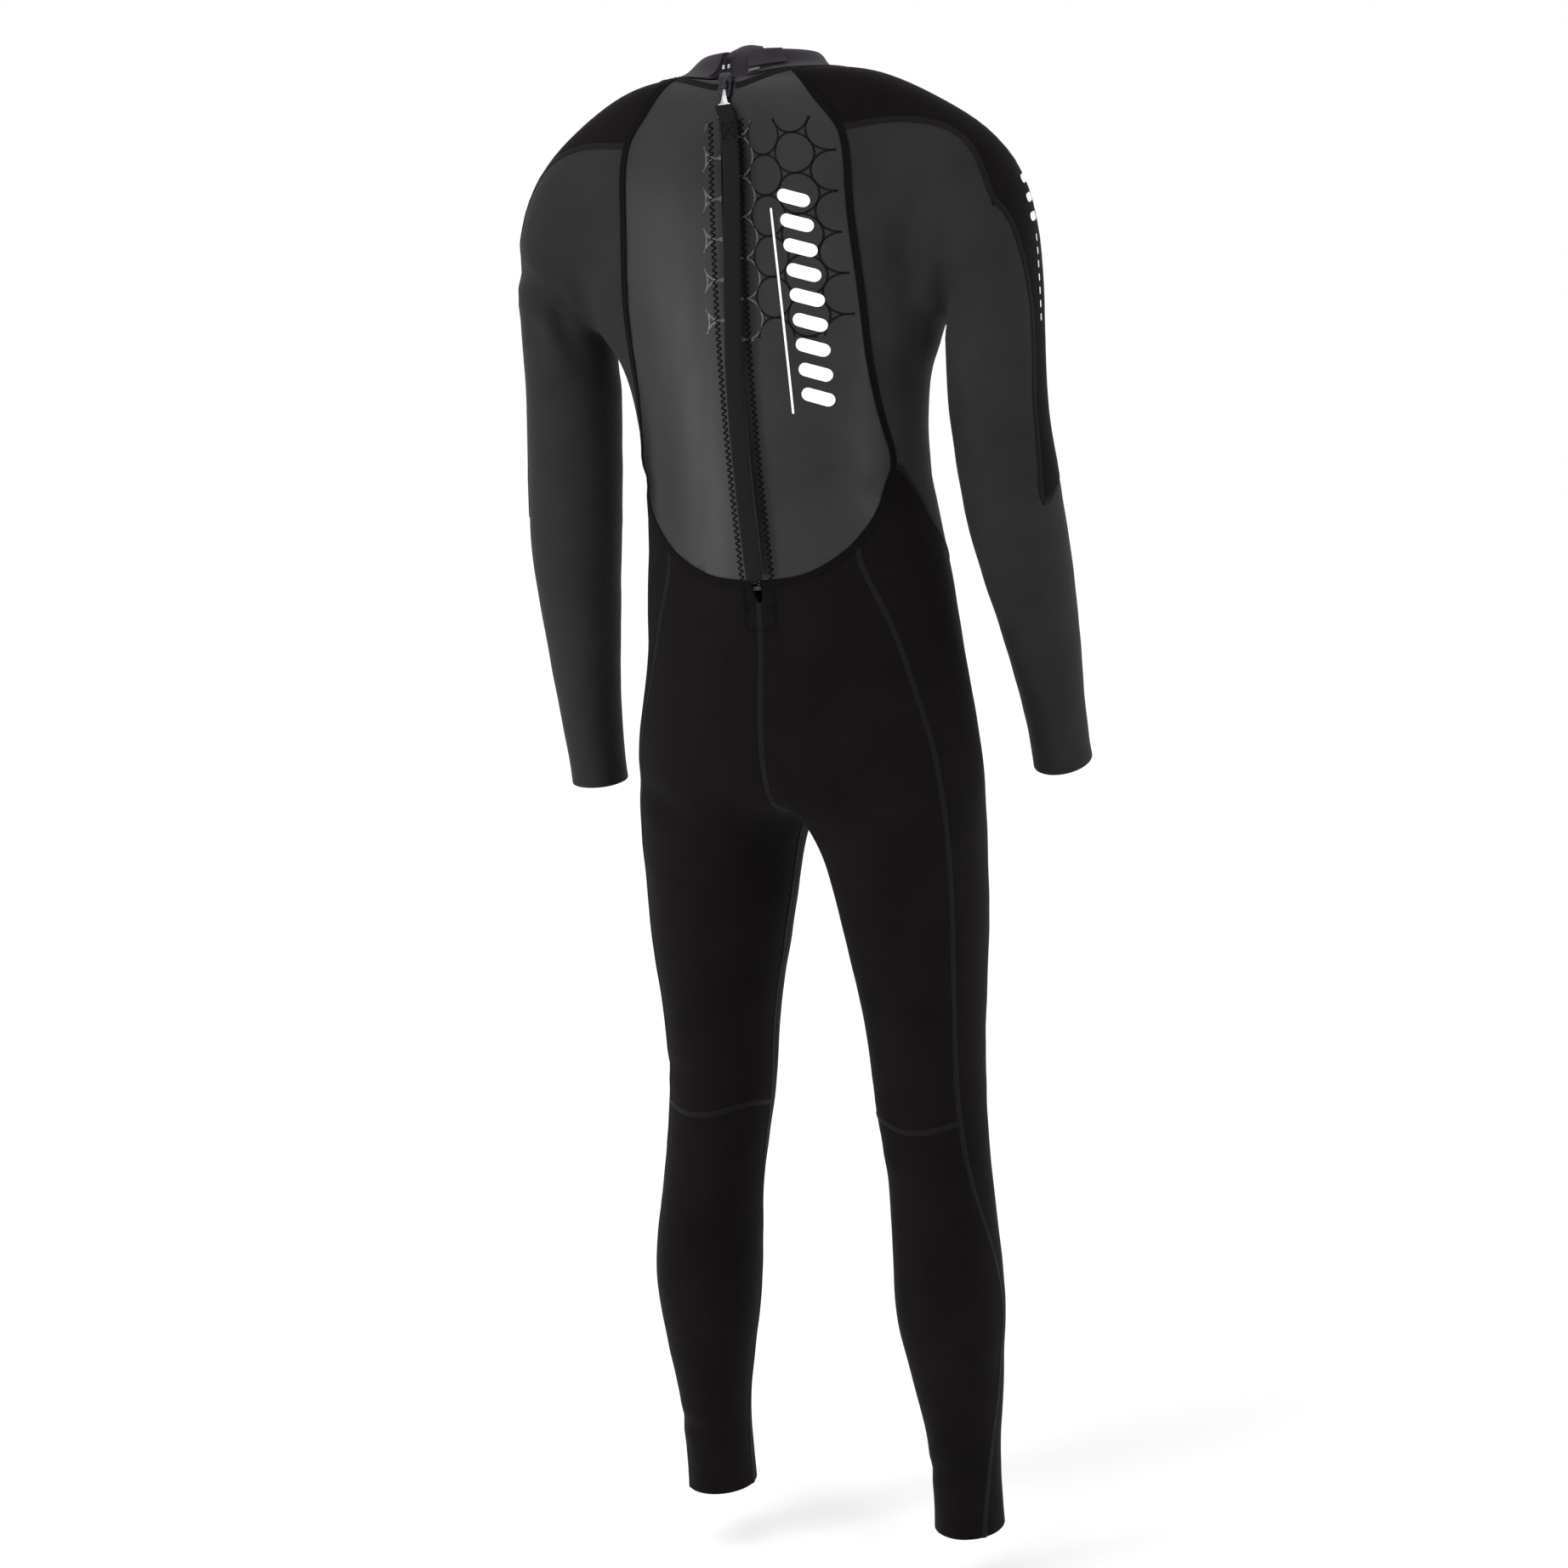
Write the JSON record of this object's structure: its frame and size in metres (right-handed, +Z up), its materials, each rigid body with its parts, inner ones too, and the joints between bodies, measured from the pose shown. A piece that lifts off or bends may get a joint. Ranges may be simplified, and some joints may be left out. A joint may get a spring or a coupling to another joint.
{
  "type": "full wetsuit",
  "caption": "Full-length neoprene wetsuit with a back zip on a long webbing pull, smooth-skin chest and back panels and a folding collar tab.",
  "frame": {"origin": "middle of the neck opening, level with the neck seam", "axes": "+Z up the standing figure, -Y the way the wearer faces, +X the wearer's left"},
  "size_m": [0.5762, 0.2652, 1.5064],
  "materials": {
    "smooth_rubber": "smooth-skin neoprene, satin",
    "charcoal_neoprene": "knit-faced neoprene, matt",
    "black_neoprene": "knit-faced neoprene, matt",
    "webbing": "woven webbing, matt",
    "nylon": "moulded coil and woven tape",
    "steel": "satin",
    "grey_hook_pile": "hook-and-loop pile"
  },
  "bodies": {
    "suit": {"back_binding_left": "webbing", "back_binding_right": "webbing", "back_panel_left": "smooth_rubber", "back_panel_right": "smooth_rubber", "chest_panel": "smooth_rubber", "closure_patch": "grey_hook_pile", "collar": "black_neoprene", "elbow_left": "charcoal_neoprene", "elbow_right": "charcoal_neoprene", "front_leg_left": "black_neoprene", "front_leg_right": "black_neoprene", "knee_hollow_left": "black_neoprene", "knee_hollow_right": "black_neoprene", "knee_pad_left": "black_neoprene", "knee_pad_right": "black_neoprene", "neck_flap": "black_neoprene", "seat_left": "black_neoprene", "seat_right": "black_neoprene", "shoulder_yoke_left": "black_neoprene", "shoulder_yoke_right": "black_neoprene", "side_sleeve_left": "charcoal_neoprene", "side_sleeve_right": "charcoal_neoprene", "zip_backing_flap": "black_neoprene", "zip_bottom_stop": "steel", "zip_chain_left": "nylon", "zip_chain_right": "nylon", "zip_tape_left": "nylon", "zip_tape_right": "nylon", "zip_top_stop_left": "steel", "zip_top_stop_right": "steel"},
    "forearm_left": {"forearm_left": "charcoal_neoprene"},
    "forearm_right": {"forearm_right": "charcoal_neoprene"},
    "lower_leg_left": {"calf_left": "black_neoprene", "shin_left": "black_neoprene"},
    "lower_leg_right": {"calf_right": "black_neoprene", "shin_right": "black_neoprene"},
    "slider": {"zip_slider": "steel"},
    "pull": {"zip_pull_tab": "steel", "pull_strap": "webbing"},
    "closure": {"closure_tab": "black_neoprene"}
  },
  "joints": [
    {"name": "elbow_left", "type": "hinge", "parent": "suit", "child": "forearm_left", "pos_m": [0.231, 0.006, -0.39], "axis": [-1, 0, 0], "range_deg": [0, 105], "stiffness_Nm_per_rad": 6, "deforming": ["elbow_left"]},
    {"name": "elbow_right", "type": "hinge", "parent": "suit", "child": "forearm_right", "pos_m": [-0.245, 0.006, -0.39], "axis": [-1, 0, 0], "range_deg": [0, 92], "stiffness_Nm_per_rad": 6, "deforming": ["elbow_right"]},
    {"name": "knee_left", "type": "hinge", "parent": "suit", "child": "lower_leg_left", "pos_m": [0.102, -0.022, -1.01], "axis": [1, 0, 0], "range_deg": [0, 98], "stiffness_Nm_per_rad": 6, "deforming": ["knee_pad_left", "knee_hollow_left"]},
    {"name": "knee_right", "type": "hinge", "parent": "suit", "child": "lower_leg_right", "pos_m": [-0.136, -0.01, -1.01], "axis": [1, 0, 0], "range_deg": [0, 98], "stiffness_Nm_per_rad": 6, "deforming": ["knee_pad_right", "knee_hollow_right"]},
    {"name": "slider_travel", "type": "hinge", "parent": "suit", "child": "slider", "pos_m": [-0.00918, -1.2825, -0.27], "axis": [-0.9994, 0, 0.034], "range_deg": [0, 19]},
    {"name": "pull_swing", "type": "hinge", "parent": "slider", "child": "pull", "pos_m": [0.00027, 0.09472, 0.00903], "axis": [0.9994, 0, -0.034], "range_deg": [0, 20]},
    {"name": "closure_tab_fold", "type": "hinge", "parent": "suit", "child": "closure", "pos_m": [-0.0139, 0.069, 0.0352], "axis": [-0.1328, 0.5307, -0.8371], "range_deg": [0, 160]}
  ],
  "couplings": [
    {"joint": "pull_swing", "follows": "slider_travel", "ratio": 1.0526}
  ]
}
